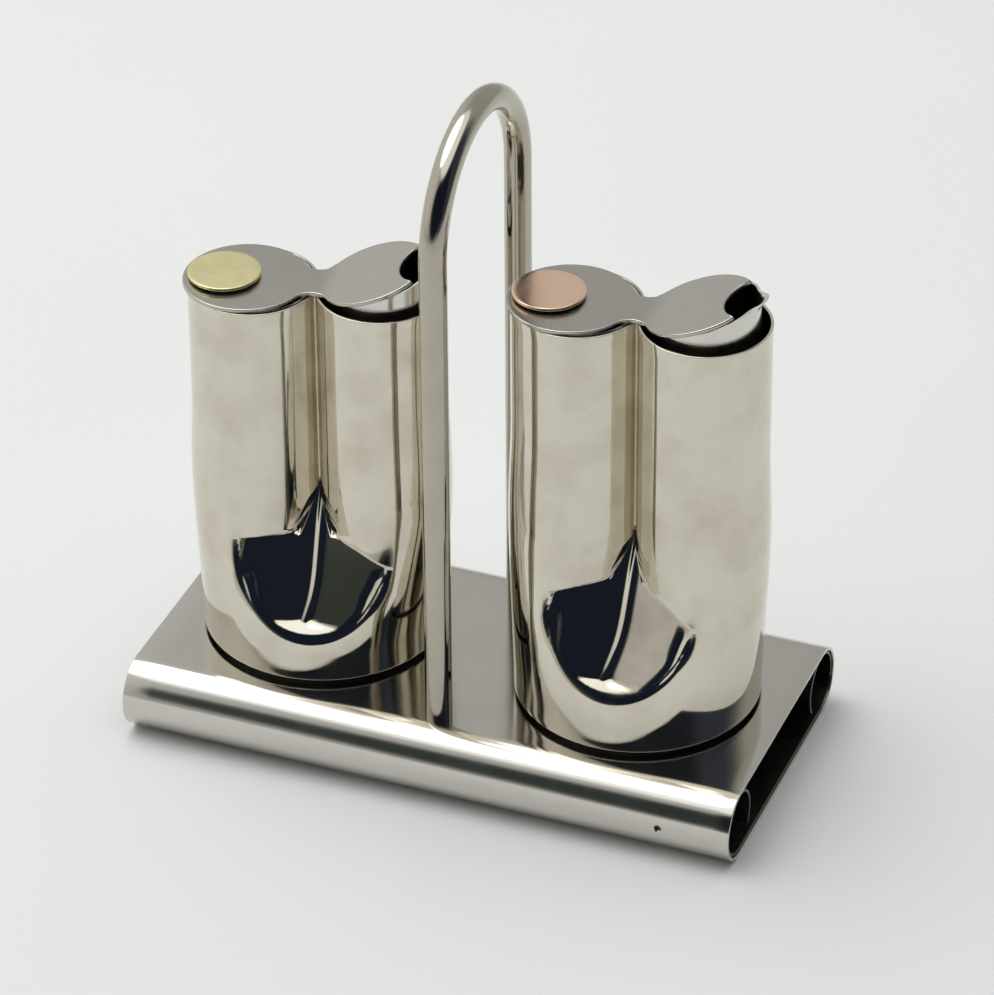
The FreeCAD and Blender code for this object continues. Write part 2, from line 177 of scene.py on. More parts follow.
def makeMetal(name, look):
    # Metal whose roughness follows the cloud, and whose colour turns to tarnish by specks
    # times their share plus the patches. Bumps give the sheet's waviness and brush lines
    material = bpy.data.materials.new(name)
    material.use_nodes = True
    nodes, links = material.node_tree.nodes, material.node_tree.links
    shader = nodes["Principled BSDF"]
    shader.inputs["Metallic"].default_value = 1.0
    where = nodes.new("ShaderNodeTexCoord").outputs["Object"]
    marks = nodes.new("ShaderNodeGroup")
    marks.node_tree = groups["handled"]
    links.new(where, marks.inputs["Vector"])
    marks.inputs["Size"].default_value = look["cloudSize"]
    rough = nodes.new("ShaderNodeMapRange")
    links.new(marks.outputs["Cloud"], rough.inputs["Value"])
    rough.inputs["From Min"].default_value = marking["cloudFrom"]
    rough.inputs["From Max"].default_value = marking["cloudTo"]
    rough.inputs["To Min"].default_value = look["roughness"][0]
    rough.inputs["To Max"].default_value = look["roughness"][1]
    links.new(rough.outputs["Result"], shader.inputs["Roughness"])
    tint = nodes.new("ShaderNodeMix")
    tint.data_type = "RGBA"
    tint.inputs[firstColour].default_value = (*look["colour"], 1.0)
    tint.inputs[secondColour].default_value = (*look["tarnish"], 1.0)
    stain = nodes.new("ShaderNodeMath")
    stain.operation = "MULTIPLY_ADD"
    links.new(marks.outputs["Specks"], stain.inputs[0])
    stain.inputs[1].default_value = look["specks"]
    patch = nodes.new("ShaderNodeMapRange")
    links.new(marks.outputs["Cloud"], patch.inputs["Value"])
    patch.inputs["From Min"].default_value = marking["patchFrom"]
    patch.inputs["From Max"].default_value = marking["patchTo"]
    patch.inputs["To Max"].default_value = look["patches"]
    links.new(patch.outputs["Result"], stain.inputs[2])
    links.new(stain.outputs[0], tint.inputs["Factor"])
    links.new(tint.outputs[mixedColour], shader.inputs["Base Color"])
    wave = noise(nodes, links, where, look["waveSize"], 1.0, 0.4)
    waveBump = nodes.new("ShaderNodeBump")
    waveBump.inputs["Strength"].default_value = 1.0
    waveBump.inputs["Distance"].default_value = look["waveHeight"]
    links.new(wave, waveBump.inputs["Height"])
    normal = waveBump.outputs["Normal"]
    if look["lines"] > 0.0:
        lines = nodes.new("ShaderNodeGroup")
        lines.node_tree = groups["brushed"]
        links.new(where, lines.inputs["Vector"])
        lines.inputs["Stretch"].default_value = look["stretch"]
        lineBump = nodes.new("ShaderNodeBump")
        lineBump.inputs["Strength"].default_value = look["lines"]
        lineBump.inputs["Distance"].default_value = marking["lineHeight"]
        links.new(lines.outputs["Lines"], lineBump.inputs["Height"])
        links.new(normal, lineBump.inputs["Normal"])
        normal = lineBump.outputs["Normal"]
    links.new(normal, shader.inputs["Normal"])
    return material


groups = {"handled": handledGroup(), "brushed": brushedGroup()}

metalLooks = {
    "cruetSteel": {"colour": (0.68, 0.64, 0.545), "tarnish": (0.45, 0.39, 0.31), "roughness": (0.04, 0.10),
        "cloudSize": 60.0, "specks": 0.3, "patches": 0.5, "waveSize": 45.0, "waveHeight": 0.00012,
        "lines": 0.12, "stretch": (3000.0, 3000.0, 60.0)},
    "baseSteel": {"colour": (0.62, 0.60, 0.555), "tarnish": (0.45, 0.42, 0.38), "roughness": (0.09, 0.16),
        "cloudSize": 45.0, "specks": 0.2, "patches": 0.15, "waveSize": 30.0, "waveHeight": 0.0001,
        "lines": 0.3, "stretch": (40.0, 3500.0, 3500.0)},
    "handleSteel": {"colour": (0.47, 0.44, 0.37), "tarnish": (0.28, 0.24, 0.19), "roughness": (0.06, 0.14),
        "cloudSize": 90.0, "specks": 0.35, "patches": 0.2, "waveSize": 80.0, "waveHeight": 0.0001,
        "lines": 0.12, "stretch": (2500.0, 2500.0, 70.0)},
    "lidSteel": {"colour": (0.49, 0.475, 0.43), "tarnish": (0.38, 0.36, 0.32), "roughness": (0.2, 0.3),
        "cloudSize": 70.0, "specks": 0.1, "patches": 0.15, "waveSize": 40.0, "waveHeight": 0.00005,
        "lines": 0.1, "stretch": (60.0, 2600.0, 2600.0)},
    "spoutSteel": {"colour": (0.70, 0.68, 0.64), "tarnish": (0.50, 0.46, 0.40), "roughness": (0.12, 0.22),
        "cloudSize": 90.0, "specks": 0.3, "patches": 0.25, "waveSize": 70.0, "waveHeight": 0.00006,
        "lines": 0.1, "stretch": (2500.0, 2500.0, 80.0)},
    # Painted shade: the drawer's steel is made near black so the hollow seen through the sleeve's open end
    # looks dark, as deep shade inside does
    "paintedShadeTraySteel": {"colour": (0.09, 0.088, 0.08), "tarnish": (0.05, 0.05, 0.045), "roughness": (0.25, 0.4),
        "cloudSize": 60.0, "specks": 0.3, "patches": 0.2, "waveSize": 40.0, "waveHeight": 0.00005,
        "lines": 0.2, "stretch": (50.0, 2500.0, 2500.0)},
    # Painted shade: near-black steel that stands in for the shade in the stop pin's hole and in the gap
    # under each cruet's foot
    "shadowSteel": {"colour": (0.05, 0.05, 0.045), "tarnish": (0.03, 0.03, 0.03), "roughness": (0.4, 0.5),
        "cloudSize": 60.0, "specks": 0.1, "patches": 0.1, "waveSize": 40.0, "waveHeight": 0.00002,
        "lines": 0.0, "stretch": (50.0, 50.0, 50.0)},
    "brass": {"colour": (0.90, 0.81, 0.47), "tarnish": (0.74, 0.64, 0.36), "roughness": (0.22, 0.34),
        "cloudSize": 150.0, "specks": 0.03, "patches": 0.15, "waveSize": 120.0, "waveHeight": 0.00001,
        "lines": 0.06, "stretch": (80.0, 2600.0, 2600.0)},
    "copper": {"colour": (0.98, 0.70, 0.53), "tarnish": (0.80, 0.52, 0.38), "roughness": (0.16, 0.26),
        "cloudSize": 150.0, "specks": 0.03, "patches": 0.15, "waveSize": 120.0, "waveHeight": 0.00001,
        "lines": 0.06, "stretch": (80.0, 2600.0, 2600.0)},
}
metals = {name: makeMetal(name, look) for name, look in metalLooks.items()}
print("metals made:", len(metals))


# Base sleeve

base = {"length": 190.0, "width": 96.0, "height": 22.5, "sheet": 1.0, "edge": 0.22, "around": 720}
stopPin = {"x": 73.5, "radius": 1.3, "length": 8.5, "sunk": 0.72, "around": 48,
    "recess": 1.15, "soft": 0.3, "depth": 0.86, "fine": 1.8, "clear": 2.2}


def stadiumPoints(count, radius, halfFlat, centre):
    # Walks once round a flattened tube of that radius, evenly along its length: bottom,
    # rear round, top, front round. y is the way along the flats plus radius * sine of the
    # turn, and z is the centre less radius * cosine of the turn
    lengths = np.array([2 * halfFlat, math.pi * radius, 2 * halfFlat, math.pi * radius])
    ends = np.concatenate([[0.0], np.cumsum(lengths)])
    s = np.arange(count) / count * ends[-1]
    turn = np.clip((s - ends[1]) / radius, 0.0, math.pi) + np.clip((s - ends[3]) / radius, 0.0, math.pi)
    straight = np.clip(s, 0.0, ends[1]) - np.clip(s - ends[2], 0.0, 2 * halfFlat) - halfFlat
    y = straight + radius * np.sin(turn)
    z = centre - radius * np.cos(turn)
    return y, z


def makeBase():
    # A flattened tube: the outline carried along x and set inwards by depth * normal. The
    # front sinks round the stop pin by depth * smoothStep((recess - distance) / soft)
    b, p = base, stopPin
    radius = b["height"] / 2.0
    halfFlat = b["width"] / 2.0 - radius
    inside = b["length"] - b["edge"]
    pinAlong = p["x"] + b["length"] / 2.0
    beforePin = np.linspace(b["edge"], pinAlong - p["clear"], 20)
    nearPin = np.linspace(pinAlong - p["fine"], pinAlong + p["fine"], 29)
    afterPin = np.linspace(pinAlong + p["clear"], inside, 5)
    steps = (np.concatenate([beforePin, nearPin, afterPin]), np.linspace(inside, b["edge"], 24))
    along, depth = roundedWall(b["length"], b["sheet"], b["edge"], steps)
    outerY, outerZ = stadiumPoints(b["around"], radius, halfFlat, radius)
    normalY = np.where(np.abs(outerY) > halfFlat, outerY - np.sign(outerY) * halfFlat, 0.0) / radius
    normalZ = (outerZ - radius) / radius
    grid = np.empty((len(along), b["around"], 3))
    grid[..., 0] = (along - b["length"] / 2.0)[:, None]
    grid[..., 1] = outerY - depth[:, None] * normalY
    grid[..., 2] = outerZ - depth[:, None] * normalZ
    away = np.hypot(grid[..., 0] - p["x"], grid[..., 2] - radius)
    recess = p["depth"] * smoothStep((p["recess"] - away) / p["soft"])
    onFront = (grid[..., 1] < -halfFlat) & (depth[:, None] == 0.0)
    grid[..., 1] += np.where(onFront, recess, 0.0)
    makePiece("baseSleeve", grid, True, "base", ["base_sleeve"], "baseSteel")


def makeStopPin():
    # A plain pin turned about its axis along y: radius * cosine along x and radius * sine
    # along z. Its front end lies in the recess of the sleeve
    p = stopPin
    front = -base["width"] / 2.0 + p["sunk"]
    back = front + p["length"]
    profile = np.array([(0.0, back), (p["radius"], back), (p["radius"], front), (0.0, front)])
    angle = np.arange(p["around"]) / p["around"] * 2.0 * math.pi
    grid = np.empty((len(profile), p["around"], 3))
    grid[..., 0] = p["x"] + profile[:, 0:1] * np.cos(angle)
    grid[..., 1] = profile[:, 1:2]
    grid[..., 2] = base["height"] / 2.0 + profile[:, 0:1] * np.sin(angle)
    # The pin is near black: painted shade, so its sunk end reads as a dark hole in the sleeve
    makePiece("stopPin", grid, False, "base", ["drawer_stop_pin"], "shadowSteel")


makeBase()
makeStopPin()
print("base sleeve and stop pin made")


# Handle

handle = {"diameter": 8.0, "spread": 65.0, "top": 211.5, "foot": 22.5, "around": 72}


def makeHandle():
    # A circle carried up one leg, over a half circle and down the other leg. A point is
    # the path plus radius * cosine along x and radius * sine along the outward direction
    h = handle
    radius, half = h["diameter"] / 2.0, h["spread"] / 2.0
    springLine = h["top"] - radius - half
    leg = np.linspace(h["foot"], springLine, 40)[:-1]
    turn = np.linspace(0.0, math.pi, 121)
    y = np.concatenate([np.full(len(leg), -half), -half * np.cos(turn), np.full(len(leg), half)])
    z = np.concatenate([leg, springLine + half * np.sin(turn), leg[::-1]])
    outY = np.concatenate([np.full(len(leg), -1.0), -np.cos(turn), np.full(len(leg), 1.0)])
    outZ = np.concatenate([np.zeros(len(leg)), np.sin(turn), np.zeros(len(leg))])
    angle = np.arange(h["around"]) / h["around"] * 2.0 * math.pi
    grid = np.empty((len(y), h["around"], 3))
    grid[..., 0] = radius * np.cos(angle)
    grid[..., 1] = y[:, None] + outY[:, None] * radius * np.sin(angle)
    grid[..., 2] = z[:, None] + outZ[:, None] * radius * np.sin(angle)
    makePiece("handleTube", grid, False, "base", ["handle_tube"], "handleSteel")


makeHandle()
print("handle made")


# Cruet bodies

# The wall, the circle at its foot and the lobes at its top
cruetShape = {"wall": 0.8, "edge": 0.2, "around": 460, "gather": 0.25, "baseRadius": 36.4, "belly": 2.2,
    "roundHeight": 8.0, "topHalf": 37.75, "waist": 4.4, "shoulder": 30.0, "crease": 0.04, "nudge": 0.01,
    "footDrop": 46.0, "fineBelow": 24.0, "fineAbove": 1.0}
# The fuller wall in the middle, and the scoop's upper edge, slopes, ridge and rim
scoopShape = {"sooner": 0.72, "fullHalf": 26.0, "fullSide": 14.0, "fullDrop": 32.0, "fullEnd": 10.0,
    "half": 23.0, "cuspHalf": 4.7, "cuspDrop": 13.4, "cuspPower": 0.62, "steep": 2.5, "middle": 0.5,
    "start": 3.0, "fold": 0.2, "foldSoft": 0.3, "bend": 0.35,
    "ridgeAt": 1.2, "ridgeHalf": 1.1, "ridgeRise": 0.6, "ridgeLean": 0.0133, "ridgeLeanDrop": 21.0,
    "ridgeFadeIn": 12.0, "ridgeFadeOut": 10.0, "ridgeEnd": 42.0,
    "rimSlope": 2.6, "footSlope": 0.6, "rimBend": 1.6,
    "band": 1.6, "bandSlope": 0.25, "bandDepth": 0.9, "bandBlend": 0.3, "bandBend": 0.1,
    "bandReach": 6.0, "bandFade": 3.0}
cruets = {
    "left": {"x": -50.5, "y": 2.5, "turn": 14.0, "height": 114.1, "apex": 51.3, "tips": (12.5, 18.5),
        "scoop": (15.5, 23.6), "slope": 0.82, "disc": "brass_disc", "metal": "brass"},
    "right": {"x": 49.0, "y": 2.3, "turn": 5.0, "height": 126.8, "apex": 58.0, "tips": (16.5, 21.0),
        "scoop": (19.5, 22.8), "slope": 0.735, "disc": "copper_disc", "metal": "copper"},
}
cruetFloor = 24.2
lobeRadius = (cruetShape["topHalf"] ** 2 + cruetShape["waist"] ** 2) / (2.0 * cruetShape["topHalf"])
lobeOffset = cruetShape["topHalf"] - lobeRadius


def stand(points, cruet):
    # Turns points about the cruet's axis, x * cosine - y * sine and x * sine + y * cosine,
    # and moves them to its place on the base
    turn = math.radians(cruet["turn"])
    placed = np.empty_like(points)
    placed[..., 0] = points[..., 0] * math.cos(turn) - points[..., 1] * math.sin(turn) + cruet["x"]
    placed[..., 1] = points[..., 0] * math.sin(turn) + points[..., 1] * math.cos(turn) + cruet["y"]
    placed[..., 2] = points[..., 2] + cruetFloor
    return placed


def lobesAt(cruet, z, sooner=1.0):
    # Distance of the lobe centres from the axis, and the lobes' radius, at height z. The
    # radius goes from half the width, a circle, to (half squared + waist squared) / (2
    # half), two lobes. It gets there at the apex, or below it where sooner is under one
    c, apex = cruetShape, cruet["apex"]
    widest = c["baseRadius"] + c["belly"]
    lower = c["baseRadius"] + c["belly"] * smoothStep(z / apex)
    upper = widest - (widest - c["topHalf"]) * smoothStep((z - apex) / c["shoulder"])
    half = np.where(z < apex, lower, upper)
    parted = (half ** 2 + c["waist"] ** 2) / (2.0 * half)
    turn = smoothStep((z - c["roundHeight"]) / (apex - c["roundHeight"]) / sooner)
    radius = half + (parted - half) * turn
    return half - radius, radius


def lobeOutline(offset, radius, angle):
    # Where a ray at that angle leaves the two lobes: offset * |cosine|, rounded in the
    # crease, plus the root of (radius squared - (offset * sine) squared)
    side = offset * np.sqrt(np.cos(angle) ** 2 + cruetShape["crease"] ** 2)
    reach = side + np.sqrt(np.maximum(radius ** 2 - (offset * np.sin(angle)) ** 2, 0.0))
    return reach * np.cos(angle), reach * np.sin(angle)


def lobeHalfWidth(offset, radius, across):
    # The root of (radius squared - distance from the lobe's centre squared)
    return np.sqrt(np.maximum(radius ** 2 - (across - offset) ** 2, 0.0))


def scoopDrop(cruet, x):
    # How far below the apex the scoop's upper edge lies: cuspDrop * (across / cuspHalf) to
    # the cusp's power, then straight lines to the two tips, which lie at different heights
    s = scoopShape
    across = np.abs(x)
    cusp = s["cuspDrop"] * (np.minimum(across, s["cuspHalf"]) / s["cuspHalf"]) ** s["cuspPower"]
    tip = np.where(x < 0.0, cruet["tips"][0], cruet["tips"][1])
    beyond = np.maximum(across - s["cuspHalf"], 0.0)
    return cusp + (tip - s["cuspDrop"]) * beyond / (s["half"] - s["cuspHalf"])


def softRise(t, blend):
    # Nought below -blend, (t + blend) squared / (4 blend) up to blend, and t above it
    near = np.clip(t + blend, 0.0, 2.0 * blend)
    return near * near / (4.0 * blend) + np.maximum(t - blend, 0.0)


def wallPoints(cruet, z, angle, inset):
    # The lobes' outline, moved inwards by the inset, square to the chord between the
    # outline's points a nudge ahead and a nudge behind
    offset, radius = lobesAt(cruet, z)
    x, y = lobeOutline(offset, radius, angle)
    aheadX, aheadY = lobeOutline(offset, radius, angle + cruetShape["nudge"])
    behindX, behindY = lobeOutline(offset, radius, angle - cruetShape["nudge"])
    alongX, alongY = aheadX - behindX, aheadY - behindY
    length = np.hypot(alongX, alongY)
    return x - alongY / length * inset, y + alongX / length * inset


def scoopFloor(cruet, lean, across, drop, inset):
    # Distance of the scoop's floor from the cruet's middle plane: start + fold * across +
    # slope * drop, with a ridge, e to the -(distance / ridgeHalf) squared, along the fold
    s = scoopShape
    ridgeLine = s["ridgeAt"] - s["ridgeLean"] * np.maximum(drop - s["ridgeLeanDrop"], 0.0) ** 2
    ridge = np.exp(-((lean - ridgeLine) / s["ridgeHalf"]) ** 2) * s["ridgeRise"]
    ridge = ridge * smoothStep(drop / s["ridgeFadeIn"])
    ridge = ridge * smoothStep((s["ridgeEnd"] - drop) / s["ridgeFadeOut"])
    return s["start"] + s["fold"] * across + cruet["slope"] * np.maximum(drop, 0.0) + ridge - inset


def bodyPoints(cruet, z, angle, inset):
    # The wall with a scoop front and back. The wall moves to the scoop's floor by no more
    # than a limit, which grows inwards from the rim and the upper edge, and a shallow band
    # runs along the rim where the wall hardly moves
    s = scoopShape
    x, y = wallPoints(cruet, z, angle, inset)
    drop = cruet["apex"] - z
    lean = np.where(y < 0.0, x, -x)
    across = np.sqrt(lean ** 2 + s["foldSoft"])
    excess = lobeHalfWidth(*lobesAt(cruet, z), across)
    excess = excess - lobeHalfWidth(*lobesAt(cruet, z, s["sooner"]), across)
    excess = excess * smoothStep((s["fullHalf"] - across) / s["fullSide"])
    excess = excess * smoothStep((s["fullDrop"] - drop) / s["fullEnd"])
    y = np.copysign(np.abs(y) - excess, y)
    floor = scoopFloor(cruet, lean, across, drop, inset)
    middle, reach = cruet["scoop"]
    within = reach - np.hypot(lean - s["middle"], np.maximum(drop - middle, 0.0))
    upper = s["steep"] * (drop - scoopDrop(cruet, lean))
    downward = np.clip((drop - middle) / reach, 0.0, 1.0)
    rim = (s["rimSlope"] + (s["footSlope"] - s["rimSlope"]) * downward) * (within - s["band"])
    limit = softRise(smoothMinimum(rim, upper, s["rimBend"]), s["bend"])
    moved = np.clip(np.abs(y) - floor, -limit, limit)
    band = smoothMinimum(np.minimum(s["bandSlope"] * within, s["bandDepth"]), upper, s["bandBlend"])
    band = softRise(band, s["bandBend"]) * smoothStep((s["bandReach"] - within) / s["bandFade"])
    y = np.copysign(np.abs(y) - moved - band * np.clip(1.0 - np.abs(moved), 0.0, 1.0), y)
    return np.stack([x, y, z * np.ones_like(x)], -1)


def makeBody(side, cruet):
    # The wall's path carried round the outline. The rings lie closest over the scoop, and
    # the points gather in the valleys: angle + gather * sine of twice the angle
    c = cruetShape
    apex, height, edge = cruet["apex"], cruet["height"], c["edge"]
    foot, low, high = apex - c["footDrop"], apex - c["fineBelow"], apex + c["fineAbove"]
    stretches = [(edge, foot, 8), (foot, low, 42), (low, high, 84)]
    outside = [np.linspace(start, end, count)[:-1] for start, end, count in stretches]
    outside = np.concatenate(outside + [np.linspace(high, height - edge, 20)])
    inside = np.concatenate([np.linspace(height - edge, apex, 8)[:-1], np.linspace(apex, edge, 36)])
    along, depth = roundedWall(height, c["wall"], edge, (outside, inside))
    even = (np.arange(c["around"]) + 0.5) / c["around"] * 2.0 * math.pi
    angle = even + c["gather"] * np.sin(2.0 * even)
    grid = bodyPoints(cruet, along[:, None], angle[None, :], depth[:, None])
    makePiece(side + "CruetBody", stand(grid, cruet), True, side + "_cruet",
        [side + "_cruet_body"], "cruetSteel")


# Cruet bottoms

bottom = {"rise": 1.5, "thickness": 0.8, "footInset": 3.4, "footWidth": 1.6, "foot": 1.7, "gap": 0.05,
    "around": 180}


def turned(profile, count, centre=0.0):
    # Carries (radius, height) points once round a vertical axis: radius * cosine along x
    # and radius * sine along y
    angle = np.arange(count) / count * 2.0 * math.pi
    grid = np.empty((len(profile), count, 3))
    grid[..., 0] = centre + profile[:, 0:1] * np.cos(angle)
    grid[..., 1] = profile[:, 0:1] * np.sin(angle)
    grid[..., 2] = profile[:, 1:2]
    return grid


def makeBottom(side, cruet):
    # A plate inside the wall with a ring under it that ends in a half circle: middle +
    # half * cosine across and half * sine down
    b, c = bottom, cruetShape
    rim = c["baseRadius"] - c["wall"] - b["gap"]
    outer = c["baseRadius"] - b["footInset"]
    inner = outer - b["footWidth"]
    top = b["rise"] + b["thickness"]
    curl = np.linspace(0.0, math.pi, 9)
    middle, half = (outer + inner) / 2.0, b["footWidth"] / 2.0
    bead = np.stack([middle + half * np.cos(curl), half - b["foot"] - half * np.sin(curl)], -1)
    plate = [(0.0, top), (rim, top), (rim, b["rise"]), (outer, b["rise"])]
    profile = np.concatenate([plate, bead, [(inner, b["rise"]), (0.0, b["rise"])]])
    grid = stand(turned(profile, b["around"]), cruet)
    # The bottom is near black: painted shade for the shaded gap under the cruet's foot ring
    makePiece(side + "CruetBottom", grid, False, side + "_cruet",
        [side + "_cruet_bottom"], "shadowSteel")


# Lid plates

lid = {"thickness": 1.2, "edge": 0.35, "waist": 6.6, "flatCentre": -20.7, "flatRadius": 18.4,
    "spoutCentre": 17.6, "spoutRadius": 16.4, "bendAt": 4.0, "bendAngle": 18.0, "bendRadius": 18.0,
    "notchCentre": 38.0, "notchRadius": 12.4, "notchBlend": 1.0, "farOff": 99.0}


def neckArc():
    # The arc that touches both lobes and leaves the waist between them. Its centre (x,
    # waist + radius) lies radius + lobe radius from each lobe's centre, and taking the
    # radius out of the two equations leaves a quadratic in x
    d = lid
    near, far = d["flatRadius"] - d["waist"], d["spoutRadius"] - d["waist"]
    share = near / far
    a = 1.0 - share
    b = -2.0 * d["flatCentre"] + 2.0 * share * d["spoutCentre"]
    restNear = d["flatCentre"] ** 2 + d["waist"] ** 2 - d["flatRadius"] ** 2
    restFar = d["spoutCentre"] ** 2 + d["waist"] ** 2 - d["spoutRadius"] ** 2
    c = restNear - share * restFar
    x = (-b + math.sqrt(b * b - 4.0 * a * c)) / (2.0 * a)
    radius = (x * x - 2.0 * d["flatCentre"] * x + restNear) / (2.0 * near)
    return x, d["waist"] + radius, radius


def plateHalfWidth(x):
    # Half the plate's width at x: the root of (radius squared - distance squared) over each
    # lobe, and the neck centre's y less the neck's own root between the points of contact
    d = lid
    flatX, flatRadius = d["flatCentre"], d["flatRadius"]
    spoutX, spoutRadius = d["spoutCentre"], d["spoutRadius"]
    neckX, neckY, neckRadius = neckArc()
    flatSide = np.sqrt(np.maximum(flatRadius ** 2 - (x - flatX) ** 2, 0.0))
    spoutSide = np.sqrt(np.maximum(spoutRadius ** 2 - (x - spoutX) ** 2, 0.0))
    joinFlat = flatX + (neckX - flatX) * flatRadius / (flatRadius + neckRadius)
    joinSpout = spoutX + (neckX - spoutX) * spoutRadius / (spoutRadius + neckRadius)
    neck = neckY - np.sqrt(np.maximum(neckRadius ** 2 - (x - neckX) ** 2, 0.0))
    return np.where(x < joinFlat, flatSide, np.where(x > joinSpout, spoutSide, neck))


def bendPlate(points, level):
    # Rolls the flat plate about the bend line: an arc of the bend radius less the height in
    # the plate, its sine along x and one less its cosine up, then straight at the angle
    d = lid
    angle = math.radians(d["bendAngle"])
    run = d["bendRadius"] * angle
    start = d["bendAt"] - run / 2.0
    x, w = points[..., 0], points[..., 2]
    turn = np.clip((x - start) / d["bendRadius"], 0.0, angle)
    beyond = np.maximum(x - start - run, 0.0)
    before = np.minimum(x, start)
    bent = points.copy()
    bent[..., 0] = before + (d["bendRadius"] - w) * np.sin(turn) + beyond * math.cos(angle)
    bent[..., 2] = w + (d["bendRadius"] - w) * (1.0 - np.cos(turn)) + beyond * math.sin(angle) + level
    return bent


def plateRays(count):
    # The plate's spine points and outline points: fans round the two lobe centres, joined
    # by straight rays along the spine. The notch bites into the spout lobe's fan where a
    # ray meets its circle, at gap * cosine less the root of (radius squared - across squared)
    d = lid
    spoutX, flatX, flatRadius = d["spoutCentre"], d["flatCentre"], d["flatRadius"]
    fan = np.linspace(-math.pi / 2.0, math.pi / 2.0, count)
    gap = d["notchCentre"] - spoutX
    across = gap * np.sin(fan)
    root = np.sqrt(np.maximum(d["notchRadius"] ** 2 - across ** 2, 0.0))
    bite = np.where(np.abs(across) < d["notchRadius"], gap * np.cos(fan) - root, d["farOff"])
    reach = smoothMinimum(np.full(count, d["spoutRadius"]), bite, d["notchBlend"])
    spine = np.linspace(spoutX, flatX, count)[1:-1]
    parts = [
        (np.full(count, spoutX), spoutX + reach * np.cos(fan), reach * np.sin(fan)),
        (spine, spine, plateHalfWidth(spine)),
        (np.full(count, flatX), flatX - flatRadius * np.cos(fan), -flatRadius * np.sin(fan)),
        (spine[::-1], spine[::-1], -plateHalfWidth(spine[::-1])),
    ]
    return [np.concatenate([part[k] for part in parts]) for k in range(3)]


def makePlate(side, cruet):
    # Rows of (share of the way from spine to edge, inset, height): the top, the rounded
    # edge and the underside. A point is spine + (edge - spine + inward * inset) * share
    d = lid
    spineX, edgeX, edgeY = plateRays(121)
    loop = np.stack([edgeX, edgeY], -1)
    along = np.roll(loop, -1, 0) - np.roll(loop, 1, 0)
    along /= np.maximum(np.hypot(along[:, 0], along[:, 1]), 1e-9)[:, None]
    inwardX, inwardY = -along[:, 1], along[:, 0]
    share = np.linspace(0.0, 1.0, 26)
    turn = np.linspace(0.0, math.pi / 2.0, 6)
    e, t = d["edge"], d["thickness"]
    top = [(s, e, t) for s in share[:-1]]
    rim = [(1.0, e - e * math.sin(a), t - e + e * math.cos(a)) for a in turn]
    lower = [(1.0, e - e * math.cos(a), e - e * math.sin(a)) for a in turn]
    under = [(s, e, 0.0) for s in share[-2::-1]]
    rows = np.array(top + rim + lower + under)
    x = spineX + (edgeX - spineX) * rows[:, 0:1] + inwardX * rows[:, 1:2] * rows[:, 0:1]
    y = edgeY * rows[:, 0:1] + inwardY * rows[:, 1:2] * rows[:, 0:1]
    grid = np.stack([x, y, rows[:, 2:3] * np.ones_like(x)], -1)
    grid = stand(bendPlate(grid, cruet["height"]), cruet)
    makePiece(side + "LidPlate", grid, False, side + "_lid", [side + "_lid_plate"], "lidSteel")


# Pouring sleeves

sleeve = {"radius": 15.6, "wall": 0.8, "depth": 18.0, "around": 240, "edgeShare": 0.006, "edgeScale": 30.0,
    "edgeLimit": 0.01, "reach": 4.8, "beakHeight": 9.0, "spread": 16.0, "pinch": 1.2, "pinchAt": 27.0,
    "pinchSpread": 8.0, "cutRounds": 40}


def sleeveGrid(cruet, share, depth):
    # A tube whose top swells into a beak: reach * e to the -(angle / spread) to the fourth,
    # less a pinch at either side of it. Share runs from the tube's foot to the underside
    # of the bent plate, a height found by going halfway there, round after round
    d = sleeve
    level = cruet["height"]
    slope = math.tan(math.radians(lid["bendAngle"]))
    top = level + (lobeOffset + d["radius"] + d["reach"] - lid["bendAt"]) * slope + 2.0 * lid["thickness"]
    angle = np.arange(d["around"]) / d["around"] * 2.0 * math.pi
    fold = np.degrees(np.minimum(angle, 2.0 * math.pi - angle))
    beak = d["reach"] * np.exp(-(fold / d["spread"]) ** 4)
    beak = beak - d["pinch"] * np.exp(-((fold - d["pinchAt"]) / d["pinchSpread"]) ** 2)
    drop = lid["thickness"] / math.cos(math.radians(lid["bendAngle"])) - lid["thickness"]

    def reachAt(z):
        # The tube's radius less the depth, plus the beak times a smooth step squared
        rise = smoothStep(1.0 - (top - z) / d["beakHeight"]) ** 2
        return d["radius"] - depth[:, None] + rise * beak

    cut = np.full((len(share), d["around"]), level)
    for _ in range(d["cutRounds"]):
        x = lobeOffset + reachAt(cut) * np.cos(angle)
        cut = 0.5 * cut + 0.5 * np.maximum(level + (x - lid["bendAt"]) * slope - drop, level)
    low = level - d["depth"]
    z = low + (cut - low) * share[:, None]
    reach = reachAt(z)
    return np.stack([lobeOffset + reach * np.cos(angle), reach * np.sin(angle), z], -1)


def makeSleeve(side, cruet):
    # The wall's path with its length as a share. The corners are that share deep as well,
    # so their depth is scaled up to a real edge: depth * scale, and the same from inside
    d = sleeve
    edge, wall, scale, limit = d["edgeShare"], d["wall"], d["edgeScale"], d["edgeLimit"]
    steps = (np.linspace(edge, 1.0 - edge, 90), np.linspace(1.0 - edge, edge, 60))
    along, depth = roundedWall(1.0, wall, edge, steps)
    fromInside = np.where(depth > wall - limit, wall - (wall - depth) * scale, depth)
    depth = np.where(depth < limit, depth * scale, fromInside)
    grid = stand(sleeveGrid(cruet, along, depth), cruet)
    makePiece(side + "PouringSleeve", grid, True, side + "_lid",
        [side + "_pouring_sleeve"], "spoutSteel")


# Discs

disc = {"radius": 10.65, "thickness": 1.0, "lift": 0.8, "at": -27.0, "edge": 0.25, "around": 160}


